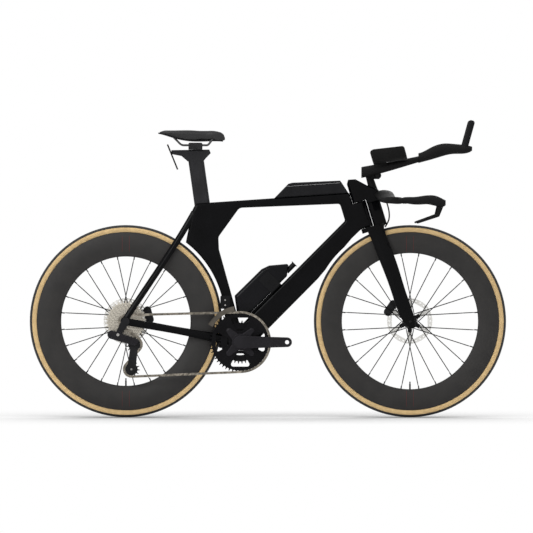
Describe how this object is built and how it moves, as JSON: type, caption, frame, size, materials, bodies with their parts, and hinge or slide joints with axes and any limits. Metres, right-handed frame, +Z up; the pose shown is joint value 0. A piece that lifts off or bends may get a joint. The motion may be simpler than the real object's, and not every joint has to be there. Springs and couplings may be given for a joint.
{
  "type": "time trial bicycle",
  "caption": "Time trial bicycle with a deep aero frame, deep rims, disc brakes, a base bar with aero extensions, a storage box and a shaped bottle.",
  "frame": {"origin": "on the ground, midway between the two wheels' contact points, in the bicycle's mid plane", "axes": "+X forward, +Y to the rider's left, +Z up; the drive side faces -Y"},
  "size_m": [1.68, 0.4102, 1.0479],
  "materials": {
    "gloss_black": "gloss clear coat over black",
    "matte_carbon": "matte moulded carbon",
    "rim_carbon": "matte moulded carbon",
    "tyre": "black tread with tan sidewalls",
    "black_alloy": "black anodised",
    "black_spokes": "satin black",
    "steel": "bright brushed",
    "crank_grey": "satin dark grey",
    "black_plastic": "fine grained",
    "bottle_plastic": "semi gloss",
    "grip_rubber": "textured",
    "saddle_cover": "smooth synthetic cover",
    "pad_foam": "knitted cover over foam"
  },
  "bodies": {
    "frame": {"main_frame": "gloss_black", "left_chainstay": "gloss_black", "right_chainstay": "gloss_black", "left_seatstay": "gloss_black", "right_seatstay": "gloss_black", "bottom_bracket": "black_alloy", "headset_bearings": "black_alloy", "rear_thru_axle": "black_alloy", "bottle_cage": "black_plastic", "storage_box": "black_plastic", "derailleur_hanger": "black_alloy", "rear_derailleur": "black_plastic", "derailleur_cage": "black_alloy", "chain": "steel", "front_derailleur": "black_plastic", "front_derailleur_cage": "steel", "rear_caliper": "black_alloy"},
    "bottle": {"bottle": "bottle_plastic", "bottle_nozzle": "bottle_plastic"},
    "storage_lid": {"storage_lid": "black_plastic"},
    "rear_wheel": {"rear_tyre": "tyre", "rear_rim": "rim_carbon", "rear_hub": "black_alloy", "rear_rotor": "steel", "rear_spokes": "black_spokes"},
    "cassette": {"cassette": "steel"},
    "front_wheel": {"front_tyre": "tyre", "front_rim": "rim_carbon", "front_hub": "black_alloy", "front_rotor": "steel", "front_spokes": "black_spokes"},
    "crank": {"right_crank_arm": "crank_grey", "left_crank_arm": "crank_grey", "outer_chainring": "crank_grey", "inner_chainring": "crank_grey", "chainring_bolts": "steel"},
    "guide_pulley": {"guide_pulley": "black_alloy"},
    "tension_pulley": {"tension_pulley": "black_alloy"},
    "front_end": {"fork": "gloss_black", "stem": "gloss_black", "basebar": "matte_carbon", "hand_grips": "grip_rubber", "aerobar_mast": "matte_carbon", "front_thru_axle": "black_alloy", "front_caliper": "black_alloy", "front_brake_hose": "grip_rubber"},
    "aerobars": {"extensions": "matte_carbon", "arm_cups": "matte_carbon", "arm_pads": "pad_foam", "extension_grips": "grip_rubber"},
    "left_brake_lever": {"left_brake_lever": "black_plastic"},
    "right_brake_lever": {"right_brake_lever": "black_plastic"},
    "left_shift_button": {"left_shift_button": "black_plastic"},
    "right_shift_button": {"right_shift_button": "black_plastic"},
    "seatpost": {"seatpost": "matte_carbon", "saddle_clamp": "black_alloy", "rear_plate": "matte_carbon"},
    "saddle": {"saddle": "saddle_cover", "saddle_shell": "black_plastic", "saddle_rails": "steel"}
  },
  "joints": [
    {"name": "steering", "type": "hinge", "parent": "frame", "child": "front_end", "pos_m": [0.45797, 0, 0.32584], "axis": [-0.2924, 0, 0.9563], "range_deg": [-35, 35]},
    {"name": "front_wheel_spin", "type": "hinge", "parent": "front_end", "child": "front_wheel", "pos_m": [0.501, 0, 0.339], "axis": [0, 1, 0], "continuous": true},
    {"name": "rear_wheel_spin", "type": "hinge", "parent": "frame", "child": "rear_wheel", "pos_m": [-0.501, 0, 0.339], "axis": [0, 1, 0], "continuous": true},
    {"name": "crank_spin", "type": "hinge", "parent": "frame", "child": "crank", "pos_m": [-0.09755, 0, 0.266], "axis": [0, 1, 0], "continuous": true},
    {"name": "cassette_spin", "type": "hinge", "parent": "frame", "child": "cassette", "pos_m": [-0.501, 0, 0.339], "axis": [0, 1, 0], "continuous": true},
    {"name": "guide_pulley_spin", "type": "hinge", "parent": "frame", "child": "guide_pulley", "pos_m": [-0.47, -0.064, 0.258], "axis": [0, 1, 0], "continuous": true},
    {"name": "tension_pulley_spin", "type": "hinge", "parent": "frame", "child": "tension_pulley", "pos_m": [-0.48035, -0.064, 0.171], "axis": [0, 1, 0], "continuous": true},
    {"name": "left_brake_pull", "type": "hinge", "parent": "front_end", "child": "left_brake_lever", "pos_m": [0.60909, 0.19, 0.75219], "axis": [0, 1, 0], "range_deg": [0, 18], "stiffness_Nm_per_rad": 1.5, "springref_deg": -14.32},
    {"name": "right_brake_pull", "type": "hinge", "parent": "front_end", "child": "right_brake_lever", "pos_m": [0.60909, -0.19, 0.75219], "axis": [0, 1, 0], "range_deg": [0, 18], "stiffness_Nm_per_rad": 1.5, "springref_deg": -14.32},
    {"name": "left_shift_press", "type": "slide", "parent": "aerobars", "child": "left_shift_button", "axis": [-0.2676, 0, -0.9635], "range_m": [0, 0.0015], "stiffness_N_per_m": 1200, "springref_m": -0.0015},
    {"name": "right_shift_press", "type": "slide", "parent": "aerobars", "child": "right_shift_button", "axis": [-0.2676, 0, -0.9635], "range_m": [0, 0.0015], "stiffness_N_per_m": 1200, "springref_m": -0.0015},
    {"name": "aerobar_tilt", "type": "hinge", "parent": "front_end", "child": "aerobars", "pos_m": [0.35635, 0, 0.85318], "axis": [0, -1, 0], "range_deg": [-4, 10]},
    {"name": "seatpost_height", "type": "slide", "parent": "frame", "child": "seatpost", "axis": [-0.1392, 0, 0.9903], "range_m": [-0.03, 0.02]},
    {"name": "saddle_setback", "type": "slide", "parent": "seatpost", "child": "saddle", "axis": [1, 0, 0], "range_m": [-0.012, 0.012]},
    {"name": "lid_hinge", "type": "hinge", "parent": "frame", "child": "storage_lid", "pos_m": [0.25683, 0, 0.82702], "axis": [0, 1, 0], "range_deg": [0, 80]},
    {"name": "bottle_pull", "type": "slide", "parent": "frame", "child": "bottle", "axis": [0.7033, 0, 0.7108], "range_m": [0, 0.1]}
  ],
  "couplings": [
    {"joint": "cassette_spin", "follows": "crank_spin", "ratio": 4.7273},
    {"joint": "guide_pulley_spin", "follows": "crank_spin", "ratio": -4},
    {"joint": "tension_pulley_spin", "follows": "crank_spin", "ratio": 4}
  ]
}
